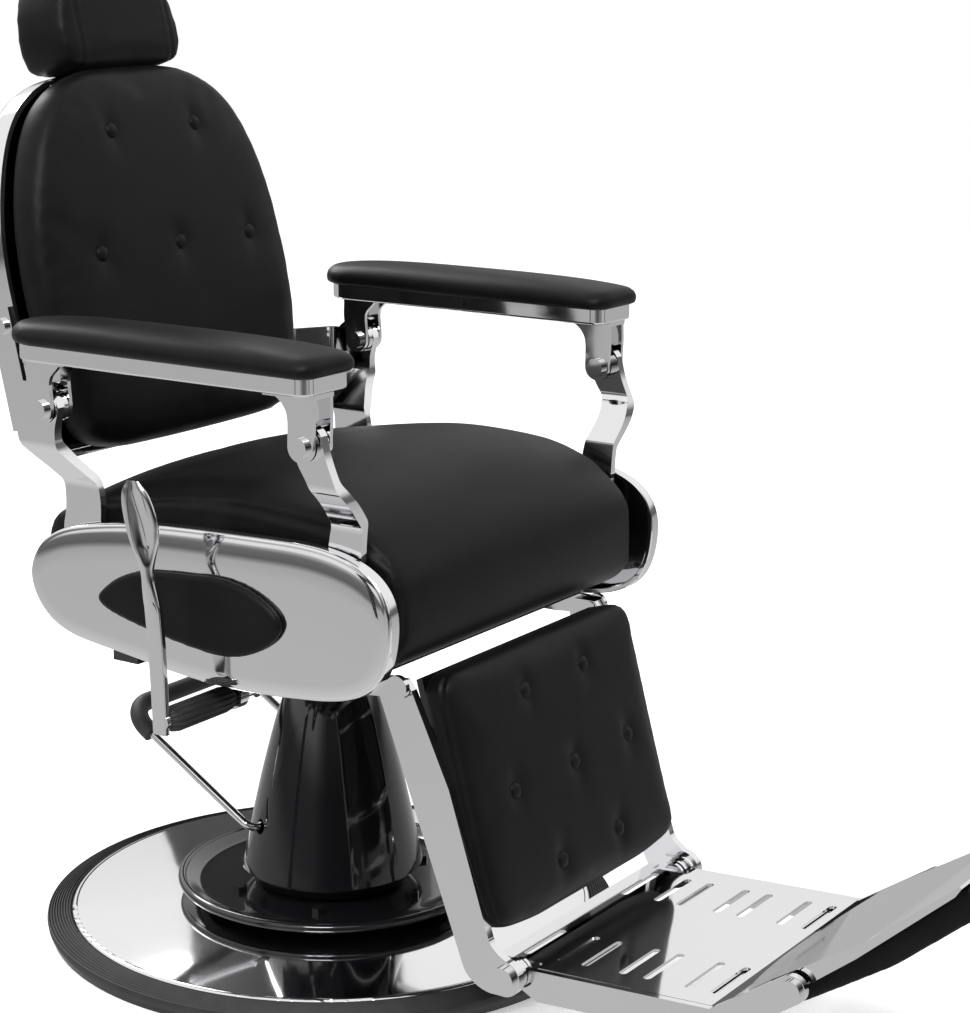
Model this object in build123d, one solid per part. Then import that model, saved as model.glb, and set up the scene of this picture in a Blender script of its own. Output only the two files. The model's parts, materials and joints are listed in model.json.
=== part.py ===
from build123d import *
import os
from math import cos, hypot, radians, sin, tan

# Hydraulic barber chair, millimetres.
# The origin is the centre of the round base on the floor, +Z is up and the sitter faces -Y.
# The sitter's right side is -X, where the recline lever is.

# ---------------------------------------------------------------- driving dimensions
BASE_R = 340.0  # outer radius of the rubber ring round the base
PLATE_R = 312.0  # chrome base plate
FLANGE_R = 184.0  # black flange dish on the base plate
RAM_R = 28.0
RUN_FIT = 0.05  # radial clearance of every turning or sliding fit
COVER_TOP_Z = 300.0
RAM_TOP_Z = 352.0

PANEL_OUT = 278.0  # outer face of the chrome side panels, from the middle of the seat
PANEL_IN = 257.5
POST_LOW = (245.5, 254.5)  # faces of the armrest posts beside the seat
POST_TOP = (286.0, 297.0)  # faces of the armrest posts under the armrests
EAR_OUT = (301.0, 306.0)
EAR_IN = (272.0, 277.0)
BAND_IN = 244.0
BAND_OUT = 323.0
BAND_Z = (705.0, 723.0)
BAND_Y = (-218.0, 195.0)
PAD_OVERHANG = 9.0  # how far the armrest pad stands out round its band

# The parallelogram of posts and armrests: pivots as (y, z).
REAR_LOW = (153.0, 480.0)
REAR_TOP = (161.0, 650.0)
PIVOT_PITCH = 358.0
FRONT_LOW = (REAR_LOW[0] - PIVOT_PITCH, REAR_LOW[1])
FRONT_TOP = (REAR_TOP[0] - PIVOT_PITCH, REAR_TOP[1])
POST_PIN_R = 8.0
ARM_PIN_R = 6.0

SEAT_HALF = 236.0
SEAT_BOARD_Z = 390.0

# The backrest leans back, and all its pieces are set out on this sloping plane.
BACK_LEAN = 13.7
BACK_POINT = (0, 236.0, 795.0)
BACK_TOP = 213.0  # distance from BACK_POINT up the slope to the crown of the pad
BACK_BOTTOM = -218.0
BACK_HALF = 223.0
BACK_FRONT = 12.0  # pad front, in front of the sloping plane
BACK_REAR = 48.0  # pad rear, behind the sloping plane
SHELL_DEPTH = 44.0
SHELL_RIM = 5.0  # how far the shell stands out round the pad

# The calf rest slopes forwards towards the floor.
CALF_LEAN = 15.5
CALF_POINT = (0, -331.0, 258.0)
CALF_TOP = 149.0
CALF_BOTTOM = -146.0
CALF_HALF = 184.0
CALF_FRONT = 7.0
CALF_REAR = 38.0
CALF_PIVOT = (-244.0, 380.0)
CALF_BAR = (188.0, 198.0)
CALF_PIN_R = 6.0

# The foot platform and the kick plate in front of it: pivots as (y, z).
FOOT_PIVOT = (-377.0, 82.0)
KICK_PIVOT = (-700.0, 145.0)
FOOT_REAR_Y = -342.0
FOOT_FRONT_Y = -608.0
FOOT_TOP_Z = 87.0
FOOT_RISE = 3.2
KICK_RISE = 33.0
FOOT_HALF = 169.5
FOOT_BAR = (170.0, 178.0)
KICK_HALF = 165.0
KICK_LENGTH = 215.0
FOOT_PIN_R = 8.0
KICK_PIN_R = 6.0
SLOT_ROWS = (-338.0, -368.0, -411.0, -440.0, -486.0, -515.0, -564.0, -594.0)

PEDAL_PIVOT = (38.0, 130.0)
PEDAL_REACH = 222.0
PEDAL_CORNER = 38.0
PEDAL_INNER_BEND = 14.0
PEDAL_GRIP_R = 11.0
PEDAL_GRIP_FROM = 176.0  # the grip's sleeve starts this far along each rod
PEDAL_RISE = 30.7
PEDAL_HALF = 104.0
PEDAL_ROD_R = 5.0

LEVER_PIVOT = (-28.0, 335.0)
LEVER_X = -330.0
LEVER_SHAFT_R = 8.0

BUTTON_R = 11.0


# ---------------------------------------------------------------- helpers
def box(x, y, z):
    """A box from three (low, high) pairs."""
    size = [high - low for low, high in (x, y, z)]
    middle = [(high + low) / 2 for low, high in (x, y, z)]
    return Pos(*middle) * Box(*size)


def rod_x(y, z, r, x0, x1):
    """A round rod along X."""
    return Pos((x0 + x1) / 2, y, z) * Rot(0, 90, 0) * Cylinder(r, x1 - x0)


def side_plate(outline, x0, x1):
    """A plate whose outline is drawn in (y, z), between two X planes."""
    return extrude(Plane.YZ.offset(x0) * outline, x1 - x0)


def smooth(points):
    """A closed face through the points, with no corners."""
    return make_face(Spline(*points, periodic=True))


def ribbon(points, thickness):
    """A flat strip of even thickness that follows a bent line."""
    line = FilletPolyline(*points, radius=12)
    return make_face(offset(line, amount=thickness / 2).edges())


def both_sides(solid):
    """The solid and its mirror image on the other side of the chair."""
    return [solid, mirror(solid, Plane.YZ)]


def turned(points):
    """A solid of revolution about Z from (radius, z) points."""
    return revolve(Plane.XZ * make_face(Polyline(*points, close=True)), Axis.Z)


def lean_plane(point, lean):
    """A plane with x across the chair, y up the slope and its normal to the front."""
    tilt = radians(lean)
    return Plane(origin=point, x_dir=(1, 0, 0), z_dir=(0, -cos(tilt), sin(tilt)))


BACK = lean_plane(BACK_POINT, BACK_LEAN)
CALF = lean_plane(CALF_POINT, CALF_LEAN)


def on_line(start, rise, along):
    """The (y, z) point at a distance forwards of start on a line that rises by an angle."""
    return (start[0] - along * cos(radians(rise)), start[1] + along * sin(radians(rise)))


def save(name, solids):
    """Writes one node, which may be a group of separate solids."""
    group = solids if isinstance(solids, list) else [solids]
    for solid in group:
        if solid.volume <= 0:
            raise ValueError("empty solid in " + name)
    shape = group[0] if len(group) == 1 else Compound(children=[s for g in group for s in g.solids()])
    shape.label = name
    export_step(shape, "parts/" + name + ".step")
    volumes[name] = sum(s.volume for s in group)


# ---------------------------------------------------------------- base and pump
def cover_radius(z):
    """Outer radius of the front pump cover at a height."""
    top, foot = 47.0, 109.0
    part = (COVER_TOP_Z - z) / (COVER_TOP_Z - 72.0)
    return top + (foot - top) * part ** 0.72


def cover_half(growth, front):
    """One half of the pump's tapered cover, cut along its sloping joint."""
    levels = (72.0, 106.0, 145.0, 185.0, 225.0, 262.0, COVER_TOP_Z)
    thickness = 3.0
    outer = [(cover_radius(z) + growth, z) for z in levels]
    inner = [(r - thickness, z) for r, z in reversed(outer)]
    outer_line, inner_line = Spline(*outer), Spline(*inner)
    ends = [Line(outer[-1], inner[0]), Line(inner[-1], outer[0])]
    shell = revolve(Plane.XZ * make_face([outer_line, inner_line] + ends), Axis.Z)
    slope = 0.402
    joint_y = -10.0 + 265.0 * slope
    gap = 0.2 if front else -0.2
    low, high = 60.0, COVER_TOP_Z + 10
    line_low, line_high = joint_y - low * slope - gap, joint_y - high * slope - gap
    side = -150.0 if front else 150.0
    outline = Polyline((line_low, low), (line_high, high), (side, high), (side, low), close=True)
    half = shell & side_plate(make_face(outline), -150, 150)
    hole = rod_x(PEDAL_PIVOT[0], PEDAL_PIVOT[1], PEDAL_ROD_R + 4, -150, 150)
    return half - hole


def make_base():
    ring_profile = make_face([
        Line((298, 6.2), (BASE_R - 3, 6.2)),
        ThreePointArc((BASE_R - 3, 6.2), (BASE_R, 14), (BASE_R - 7, 23)),
        Line((BASE_R - 7, 23), (PLATE_R + 1, 27)),
        Line((PLATE_R + 1, 27), (PLATE_R + 1, 22)),
        Line((PLATE_R + 1, 22), (298, 22)),
        Line((298, 22), (298, 6.2)),
    ])
    ring = revolve(Plane.XZ * ring_profile, Axis.Z)
    save("base_rubber_ring", ring)
    save("base_underplate", Pos(0, 0, 3) * Cylinder(BASE_R - 5, 6))
    dome = [(43, 43), (150, 38.5), (250, 31.5), (PLATE_R - 8, 27)]
    top = Spline(*dome)
    under = Spline(*[(r, z - 4) for r, z in reversed(dome)])
    rim = [
        ThreePointArc((PLATE_R - 8, 27), (PLATE_R - 1.5, 25.4), (PLATE_R, 22.2)),
        Line((PLATE_R, 22.2), (PLATE_R - 8, 22.2)),
        Line((PLATE_R - 8, 22.2), (PLATE_R - 8, 23)),
    ]
    plate = revolve(Plane.XZ * make_face([top, under, Line((43, 39), (43, 43))] + rim), Axis.Z)
    bolts = []
    for turn in range(6):
        place = Rot(0, 0, 60 * turn + 30)
        shank = place * Pos(118, 0, 28.5) * Cylinder(5, 44)
        head = place * Pos(118, 0, 50.1) * extrude(RegularPolygon(9, 6), 6)
        bolts.append(shank + head)
        plate -= shank
    save("base_plate", plate)

    lip = FLANGE_R - 6
    dish_profile = make_face([
        Line((42, 50), (140, 50)),
        Spline((140, 50), (160, 51.5), (lip - 4, 57.5), tangents=((1, 0), (1, 0.3))),
        ThreePointArc((lip - 4, 57.5), (FLANGE_R, 55), (lip, 49.5)),
        Spline((lip, 49.5), (160, 44.5), (140, 43.6)),
        Line((140, 43.6), (42, 43.6)),
        Line((42, 43.6), (42, 50)),
    ])
    dish = revolve(Plane.XZ * dish_profile, Axis.Z)
    for bolt in bolts:
        dish -= bolt
    save("pump_flange", dish)
    save("flange_bolts", bolts)
    neck = turned([(41, 50), (86, 50), (92, 54), (104, 68), (104, 71.8), (41, 71.8)])
    neck -= turned([(50, 56), (84, 56), (96, 71), (96, 80), (50, 80)])
    save("pump_neck", neck)

    bore = RAM_R + RUN_FIT
    cylinder = turned([(bore, 50), (bore, 285), (39, 285), (39, 62), (40.8, 60), (40.8, 6.2), (bore, 6.2)])
    save("pump_cylinder", cylinder + Pos(0, 0, 9) * Cylinder(35, 5.5))
    save("pump_gland", turned([(bore, 285.1), (bore, 296), (39, 296), (41, 293), (41, 285.1)]))

    y, z = PEDAL_PIVOT
    block = box((-62, 62), (y - 18, y + 18), (z - 20, z + 20)) - Cylinder(39, 800)
    block -= rod_x(y, z, PEDAL_ROD_R + RUN_FIT, -70, 70)
    save("pedal_pivot_block", [s for s in block.solids()])
    save("pump_cover_front", cover_half(0, True))
    save("pump_cover_rear", cover_half(-3.4, False))


def make_ram():
    save("lift_ram", Pos(0, 0, (70 + RAM_TOP_Z) / 2) * chamfer(Cylinder(RAM_R, RAM_TOP_Z - 70).edges(), 1.5))


def pedal_point(reach):
    """A point of the pedal's sloping plane, as (y, z)."""
    slope = radians(PEDAL_RISE)
    return PEDAL_PIVOT[0] + reach * cos(slope), PEDAL_PIVOT[1] + reach * sin(slope)


def make_pedal():
    y, z = PEDAL_PIVOT
    far, start = pedal_point(PEDAL_REACH), pedal_point(PEDAL_GRIP_FROM)
    foot = pedal_point(4 * PEDAL_INNER_BEND)
    loop = FilletPolyline(
        (-PEDAL_HALF, *foot), (-PEDAL_HALF, *far), (PEDAL_HALF, *far), (PEDAL_HALF, *foot),
        radius=PEDAL_CORNER,
    )
    rod = sweep((loop ^ 0) * Circle(PEDAL_ROD_R), path=loop)
    for side in (-1, 1):
        end = FilletPolyline(
            (side * PEDAL_HALF, *foot), (side * PEDAL_HALF, y, z), (side * 42, y, z), radius=PEDAL_INNER_BEND,
        )
        rod += sweep((end ^ 0) * Circle(PEDAL_ROD_R), path=end)
    save("pedal_bar", rod)
    path = FilletPolyline(
        (-PEDAL_HALF, *start), (-PEDAL_HALF, *far), (PEDAL_HALF, *far), (PEDAL_HALF, *start),
        radius=PEDAL_CORNER,
    )
    section = Circle(PEDAL_GRIP_R) - Circle(PEDAL_ROD_R)
    save("pedal_grip", sweep((path ^ 0) * section, path=path))


# ---------------------------------------------------------------- seat
def panel_outline(inset):
    """The outline of a side panel, shrunk evenly towards its middle."""
    points = [
        (-286, 459), (-267, 512), (-215, 534), (-120, 538), (16, 533), (133, 518), (198, 490),
        (215, 455), (190, 406), (109, 383), (-35, 367), (-172, 371), (-262, 396),
    ]
    middle, half = (-35.0, 453.0), (251.0, 86.0)
    return smooth([
        tuple(m + (p - m) * (h - inset) / h for p, m, h in zip(point, middle, half)) for point in points
    ])


def oval_outline():
    return smooth([
        (101, 449), (67, 473), (-25, 488), (-105, 484), (-151, 450), (-110, 412), (-35, 406), (50, 420),
    ])


def seat_outline():
    front, rear, foot = -277.0, 228.0, 402.0
    return make_face([
        Line((-232, foot), (rear - 14, foot)),
        ThreePointArc((rear - 14, foot), (rear - 4.1, foot + 4.1), (rear, foot + 14)),
        Line((rear, foot + 14), (rear, 490)),
        Spline(
            (rear, 490), (222, 512), (202, 530), (150, 548), (50, 566), (-75, 582), (-160, 579), (-228, 556),
            (-264, 522), (front, 480),
        ),
        Line((front, 480), (front, 447)),
        ThreePointArc((front, 447), (-263.8, 415.2), (-232, foot)),
    ])


def side_pins():
    """Shoulder bolts on which the posts turn, on the left side of the chair."""
    pins = []
    for y, z in (REAR_LOW, FRONT_LOW):
        shank = rod_x(y, z, POST_PIN_R, POST_LOW[0] - 2.5, 264)
        head = rod_x(y, z, 13, POST_LOW[0] - 6.5, POST_LOW[0] - 2.5)
        pins.append(shank + head)
    return pins


def make_seat():
    hub_low = 312.0
    hub = Pos(0, 0, (hub_low + 364) / 2) * Cylinder(40, 364 - hub_low)
    hub += box((-90, 90), (-90, 90), (355, 364))
    hub -= Pos(0, 0, (RAM_TOP_Z + 0.3) / 2) * Cylinder(RAM_R + RUN_FIT, RAM_TOP_Z + 0.3)
    save("swivel_hub", hub)

    beams = [box((0.1 - PANEL_IN, PANEL_IN - 0.1), (y - 18, y + 18), (364, 389.8)) for y in (-120, 90)]
    rails = [box((x - 14, x + 14), (-102, 72), (364, 389.8)) for x in (-85, 85)]
    save("seat_frame", beams[0] + beams[1] + rails[0] + rails[1])
    board = box((-225, 225), (-222, 212), (SEAT_BOARD_Z, 401.8))
    save("seat_board", fillet(board.edges().filter_by(Axis.Z), 25))
    cushion = side_plate(seat_outline(), -SEAT_HALF, SEAT_HALF)
    save("seat_cushion", cushion)

    pins = side_pins()
    frame = make_face(Polyline(
        (-225, 415), (-192, 386), (150, 397), (174, 420), (178, 470), (158, 496), (-205, 505), (-230, 480),
        close=True,
    ))
    side = side_plate(fillet(frame.vertices(), 12), PANEL_IN, 263.5)
    for pin in pins:
        side -= pin
    save("side_frames", both_sides(side))
    save("post_pivot_bolts", [copy for pin in pins for copy in both_sides(pin)])

    shell = side_plate(panel_outline(0), PANEL_IN, PANEL_OUT)
    rim = shell.faces().sort_by(Axis.X)[-1].edges()
    shell = fillet(rim, 6)
    hollow = side_plate(panel_outline(6), PANEL_IN - 1, PANEL_OUT - 4)
    panels = both_sides(shell - hollow)
    pads = both_sides(side_plate(oval_outline(), PANEL_OUT + 0.02, PANEL_OUT + 10))
    for name, panel, pad in zip(("left", "right"), panels, pads):
        save("side_panel_" + name, panel)
        outer_face = pad.faces().sort_by(Axis.X)[-1 if name == "left" else 0]
        save("side_pad_" + name, fillet(outer_face.edges(), 5))

    y, z = CALF_PIVOT
    arm = make_face(Polyline(
        (-138.2, 364), (-138.2, 389.8), (-205, 389.8), (y - 9, z + 9), (y - 11, z - 9), (-190, 364),
        close=True,
    ))
    hanger = side_plate(arm, 199.5, 206) + rod_x(y, z, 13, 199.5, 206) + rod_x(y, z, CALF_PIN_R, 186.5, 206)
    save("legrest_hangers", both_sides(hanger))

    y, z = LEVER_PIVOT
    bearing = box((-132, -99.2), (y - 16, y + 16), (z - 16, 389.8))
    save("lever_bearing", bearing - rod_x(y, z, LEVER_SHAFT_R + RUN_FIT, -200, 0))
    lock = rod_x(0, 0, 17, -70, 120) + rod_x(0, 0, 9, -130, -70)
    lock = Pos(0, 138, 372) * lock + box((95, 120), (108.2, 128), (364, 380))
    save("recline_lock", lock)


# ---------------------------------------------------------------- recline lever
def make_lever():
    y, z = LEVER_PIVOT
    x0, x1 = LEVER_X - 4, LEVER_X + 4
    neck_z, tip_z = 497.0, 595.0
    blade = make_face([
        Spline((y - 4, z - 9), (y - 2, 440), (-14, neck_z), (-27, 527), (-17, 566), (8, tip_z),
               tangents=((0, 1), (1, 0))),
        Spline((8, tip_z), (23, 566), (11, 527), (-3, neck_z), (y + 18, 440), (y + 13, z - 9),
               tangents=((1, 0), (0, -1))),
        Line((y + 13, z - 9), (y - 4, z - 9)),
    ])
    bar = side_plate(blade, x0, x1) + rod_x(y, z, 15, x0, x1)
    save("lever_bar", bar - rod_x(y, z, LEVER_SHAFT_R, x0 - 1, x1 + 1))
    collars = rod_x(y, z, 15, -218, -204) + rod_x(y, z, 12, -97, -93)
    save("lever_shaft", rod_x(y, z, LEVER_SHAFT_R, x0 + 1, -97) + collars)
    sleeve = rod_x(y, z, 13, x1 + 1, -220)
    for rib in range(9):
        sleeve += rod_x(y, z, 15, x1 + 6 + 11 * rib, x1 + 13 + 11 * rib)
    save("lever_foot_grip", sleeve - rod_x(y, z, LEVER_SHAFT_R, x0, 0))


# ---------------------------------------------------------------- armrests and posts
def post_section():
    """The bend of a post from beside the seat out to the armrest, in (x, z)."""
    low, top = POST_LOW, POST_TOP
    outline = Polyline(
        (low[0], 440), (low[1], 440), (low[1], 560), (top[1], 606), (top[1], 690), (top[0], 690),
        (top[0], 614), (low[0], 567), close=True,
    )
    face = make_face(outline)
    bends = [v for v in face.vertices() if 500 < v.Y < 640]
    return extrude(Plane.XZ * fillet(bends, 14), 800, both=True)


def rear_post_outline():
    y, z = REAR_LOW
    return make_face([
        Spline(
            (205, 648), (206, 622), (190, 585), (178, 562), (177, 520), (180, 482),
            tangents=((0, -1), (0, -1)),
        ),
        ThreePointArc((180, 482), (y, z - 26), (127, 482)),
        Spline(
            (127, 482), (124, 520), (127, 560), (146, 600), (149, 628), (143, 652),
            tangents=((0, 1), (-0.2, 1)),
        ),
        ThreePointArc((143, 652), (REAR_TOP[0] + 3, REAR_TOP[1] + 22), (205, 648)),
    ])


def front_post_outline():
    y, z = FRONT_LOW
    return make_face([
        Spline((-180, 658), (-186, 632), (-199, 610), (-203, 588), (-197, 558), (-190, 520), (-184, 484),
               tangents=((-0.3, -1), (0.1, -1))),
        ThreePointArc((-184, 484), (y, z - 24), (-234, 482)),
        Spline((-234, 482), (-235, 530), (-238, 566), (-240, 590), (-233, 614), (-223, 638), (-217, 662),
               tangents=((0, 1), (0.2, 1))),
        ThreePointArc((-217, 662), (-199, 673), (-180, 658)),
    ])


def make_post(outline, low, top):
    post = side_plate(outline, 240, 310) & post_section()
    post += rod_x(*top, 17, 278.5, 299.5)
    post -= rod_x(*top, ARM_PIN_R + RUN_FIT, 270, 310)
    return post - rod_x(*low, POST_PIN_R + RUN_FIT, 230, 270)


def ear_outline(pivot, ahead, behind):
    """A clevis ear that flares up into the armrest band, further to one side than the other."""
    y, z = pivot
    foot = BAND_Z[0]
    return make_face([
        Line((y - ahead, foot), (y + behind, foot)),
        Spline((y + behind, foot), (y + 19, foot - 17), (y + 16, z + 2), tangents=((-1, -0.1), (0, -1))),
        ThreePointArc((y + 16, z + 2), (y, z - 16), (y - 16, z + 2)),
        Spline((y - 16, z + 2), (y - 17, foot - 17), (y - ahead, foot), tangents=((0, 1), (-0.5, 1))),
    ])


def make_armrests():
    middle_x = (BAND_IN + BAND_OUT) / 2
    half = (BAND_OUT - BAND_IN) / 2

    def band_outline(grow):
        inside, outside = BAND_IN - grow, BAND_OUT + grow
        front, rear = BAND_Y[0] - grow, BAND_Y[1] + grow
        corner = 16 + grow
        return make_face([
            Line((inside, rear - half - grow), (inside, front + corner)),
            ThreePointArc((inside, front + corner), (inside + corner * 0.29, front + corner * 0.29),
                          (inside + corner, front)),
            Line((inside + corner, front), (outside - corner, front)),
            ThreePointArc((outside - corner, front), (outside - corner * 0.29, front + corner * 0.29),
                          (outside, front + corner)),
            Line((outside, front + corner), (outside, rear - half - grow)),
            ThreePointArc((outside, rear - half - grow), (middle_x, rear), (inside, rear - half - grow)),
        ])

    band = Pos(0, 0, BAND_Z[0]) * extrude(band_outline(0), BAND_Z[1] - BAND_Z[0])
    band = fillet(band.faces().sort_by(Axis.Z)[0].edges(), 3)
    pad = Pos(0, 0, BAND_Z[1] + 0.02) * extrude(band_outline(PAD_OVERHANG), 25)
    pad = fillet(pad.faces().sort_by(Axis.Z)[-1].edges(), 10)
    clevises, pins = [], []
    for pivot, ahead, behind in ((FRONT_TOP, 18, 48), (REAR_TOP, 32, 24)):
        outline = ear_outline(pivot, ahead, behind)
        clevis = side_plate(outline, *EAR_IN) + side_plate(outline, *EAR_OUT)
        along = (pivot[0] - ahead, pivot[0] + behind)
        clevis += box((EAR_IN[0], EAR_OUT[1]), along, (BAND_Z[0] - 5, BAND_Z[0] - 0.02))
        pin = rod_x(*pivot, ARM_PIN_R, EAR_IN[0] - 2, EAR_OUT[1] + 1)
        pin += rod_x(*pivot, 11, EAR_OUT[1] + 0.02, EAR_OUT[1] + 5)
        pin += rod_x(*pivot, 11, EAR_IN[0] - 6, EAR_IN[0] - 0.02)
        clevis = clevis & box((200, 400), (-400, 400), (600, BAND_Z[0] - 0.02))
        clevises.append(clevis - pin)
        pins.append(pin)
    rear = make_post(rear_post_outline(), REAR_LOW, REAR_TOP)
    front = make_post(front_post_outline(), FRONT_LOW, FRONT_TOP)
    for name, side in (("left", 0), ("right", 1)):
        save("arm_band_" + name, both_sides(band)[side])
        save("arm_pad_" + name, both_sides(pad)[side])
        save("arm_clevises_" + name, [both_sides(c)[side] for c in clevises])
        save("arm_bolts_" + name, [both_sides(p)[side] for p in pins])
        save("rear_post_" + name, both_sides(rear)[side])
        save("front_post_" + name, both_sides(front)[side])


# ---------------------------------------------------------------- backrest
def back_outline(grow):
    """The arched outline of the backrest, offset outwards by a small distance."""
    foot, top, corner = BACK_BOTTOM - grow, BACK_TOP + grow, 28.0
    flat = 174 + grow
    middle = corner * sin(radians(45))
    half = [(flat + corner, foot + corner), (214 + grow, -120), (BACK_HALF + grow, -30), (215 + grow, 55),
            (193 + grow, 120), (151 + 0.7 * grow, 178 + 0.7 * grow), (90, 208 + grow), (0, top)]
    right = Spline(*half, tangents=((0, 1), (-1, 0)))
    left = Spline(*[(-x, t) for x, t in reversed(half)], tangents=((-1, 0), (0, -1)))
    arcs = [ThreePointArc((side * flat, foot), (side * (flat + middle), foot + corner - middle),
                          (side * (flat + corner), foot + corner)) for side in (-1, 1)]
    return make_face([right, left, Line((-flat, foot), (flat, foot))] + arcs)


def front_rim(pad):
    """The edges round the face of a leaning pad that is towards the front."""
    return pad.faces().filter_by(GeomType.PLANE).sort_by(Axis.Y)[0].edges()


def button(plane, x, t, depth):
    """A covered button with its rounded front, standing in a dimple of a pad."""
    face = Circle(BUTTON_R)
    solid = extrude(plane.offset(-depth) * Pos(x, t) * face, 7)
    return fillet(front_rim(solid), 4)


def dimple(plane, x, t, depth, front):
    return extrude(plane.offset(-depth) * Pos(x, t) * Circle(BUTTON_R + 3), depth + front + 1)


def make_backrest():
    places = [(-74, 139), (74, 139), (-133, 0), (0, 0), (133, 0), (-74, -139), (74, -139)]
    pad = extrude(BACK.offset(-BACK_REAR) * back_outline(0), BACK_REAR + BACK_FRONT)
    pad = fillet(front_rim(pad), 14)
    for x, t in places:
        pad -= dimple(BACK, x, t, 6, BACK_FRONT)
    save("backrest_pad", pad)
    save("backrest_buttons", [button(BACK, x, t, 5.9) for x, t in places])

    outer = extrude(BACK.offset(-BACK_REAR - SHELL_DEPTH) * back_outline(SHELL_RIM), SHELL_DEPTH - 0.1)
    outer = fillet(outer.faces().filter_by(GeomType.PLANE).sort_by(Axis.Y)[-1].edges(), 18)
    shell = outer - extrude(BACK.offset(-BACK_REAR - SHELL_DEPTH + 4) * back_outline(-1.5), SHELL_DEPTH)
    bar_depth = 64.0
    opening = extrude(BACK.offset(-bar_depth - 6) * Pos(0, BACK_TOP) * Rectangle(60, 60), 20)
    shell -= opening
    strap_in = BACK_HALF + SHELL_RIM + 0.2
    bolts = []
    for t in (-60, -160):
        middle = BACK.offset(-BACK_REAR - 18) * Pos(0, t)
        at = middle.position
        head = rod_x(at.Y, at.Z, 10, strap_in + 6.4, strap_in + 11)
        bolts.append(rod_x(at.Y, at.Z, 5, strap_in - 31, strap_in + 9) + head)
    bolts = [copy for bolt in bolts for copy in both_sides(bolt)]
    strap_plate = extrude(BACK.offset(-BACK_REAR - 34) * Pos(0, -110) * Rectangle(600, 140), 32)
    strap_plate = strap_plate & box((strap_in, strap_in + 6.3), (0, 500), (400, 900))
    middle = strap_in + 3.15
    foot = ribbon([(middle, 262), (middle, 236), (282.4, 205), (282.4, 182)], 6.3)
    strap = strap_plate + Pos(0, 0, 632) * extrude(foot, 30)
    strap -= rod_x(*REAR_TOP, 18, 270, 310)
    straps = both_sides(strap)
    for bolt in bolts:
        shell -= bolt
        straps = [s - bolt for s in straps]
    save("backrest_shell", shell)
    save("back_straps", straps)
    save("strap_bolts", bolts)

    channel = extrude(BACK.offset(-bar_depth - 9) * Pos(0, 110) * Rectangle(66, 150), 18)
    back_web = extrude(BACK.offset(-BACK_REAR - SHELL_DEPTH + 4.1) * Pos(0, 110) * Rectangle(66, 60), 20)
    guide = channel + back_web
    guide -= extrude(BACK.offset(-bar_depth - 4.4) * Pos(0, 0) * Rectangle(50.8, 600), 8.8)
    save("headrest_guide", guide)
    bar = extrude(BACK.offset(-bar_depth - 4) * Pos(0, 165) * Rectangle(50, 230), 8)
    save("headrest_bar", bar)
    low, high = BACK_TOP + 8, BACK_TOP + 140
    outline = make_face([
        Line((-86, low), (86, low)),
        Spline((86, low), (102, low + 12), (106, low + 36), (95, low + 88), (78, high - 12), (54, high)),
        Line((54, high), (-54, high)),
        Spline(
            (-54, high), (-78, high - 12), (-95, low + 88), (-106, low + 36), (-102, low + 12), (-86, low),
        ),
    ])
    head = extrude(BACK.offset(-84) * outline, 84)
    save("headrest_pad", head - bar)


# ---------------------------------------------------------------- calf rest
def calf_bar_outline():
    y, z = FOOT_PIVOT
    return make_face([
        Polyline((-306, 277), (-258, 377), (-250, 387), (-222, 387), (-213, 374), (-320, 97)),
        Spline((-320, 97), (-332, 74), (-358, 62), (y, z - 20), tangents=((-0.33, -1), (-1, -0.05))),
        ThreePointArc((y, z - 20), (y - 19, z + 4), (y - 6, z + 19)),
        Spline((y - 6, z + 19), (-366, 110), (-357, 122), tangents=((0.8, 0.2), (0.3, 1))),
        Line((-357, 122), (-306, 277)),
    ])


def make_legrest():
    bar = side_plate(calf_bar_outline(), *CALF_BAR)
    bar -= rod_x(*CALF_PIVOT, CALF_PIN_R + RUN_FIT, 150, 220)
    bolt = rod_x(*FOOT_PIVOT, FOOT_PIN_R, FOOT_BAR[0] - 3, CALF_BAR[1] + 2)
    bolt += rod_x(*FOOT_PIVOT, 14, CALF_BAR[1] + 0.02, CALF_BAR[1] + 6)
    bolt += rod_x(*FOOT_PIVOT, 13, FOOT_BAR[0] - 7, FOOT_BAR[0] - 2.6)
    bolt += rod_x(*FOOT_PIVOT, 17, FOOT_BAR[1] + 1, CALF_BAR[0] - 0.02)
    bar -= bolt
    frame = bar + mirror(bar, Plane.YZ)
    board_back = CALF_REAR + 8
    for t in (78, -78):
        at = (CALF.offset(-board_back - 9.2) * Pos(0, t)).position
        frame += rod_x(at.Y, at.Z, 9, -CALF_BAR[0] - 1, CALF_BAR[0] + 1)
        tab = extrude(CALF.offset(-board_back - 9) * Pos(0, t) * Rectangle(40, 20), 8.9)
        frame += tab
    save("legrest_frame", frame)
    save("footrest_pivot_bolts", both_sides(bolt))

    middle = (CALF_TOP + CALF_BOTTOM) / 2
    height = CALF_TOP - CALF_BOTTOM
    board = Pos(0, middle) * Rectangle(2 * CALF_HALF - 16, height - 14)
    board = extrude(CALF.offset(-board_back) * board, 7.9)
    save("calf_board", board)
    outline = fillet(Rectangle(2 * CALF_HALF, height).vertices(), 26)
    pad = extrude(CALF.offset(-CALF_REAR) * Pos(0, middle) * outline, CALF_REAR + CALF_FRONT)
    pad = fillet(front_rim(pad), 10)
    places = [(-60, 96.5), (60, 96.5), (-118, 0), (0, 0), (118, 0), (-60, -94.5), (60, -94.5)]
    for x, t in places:
        pad -= dimple(CALF, x, t, 6, CALF_FRONT)
    save("calf_pad", pad)
    save("calf_buttons", [button(CALF, x, t, 5.9) for x, t in places])


# ---------------------------------------------------------------- footrest and kick plate
def foot_top(y):
    """Height of the platform's top face at a distance from the base."""
    return FOOT_TOP_Z + (FOOT_REAR_Y - y) * tan(radians(FOOT_RISE))


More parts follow.
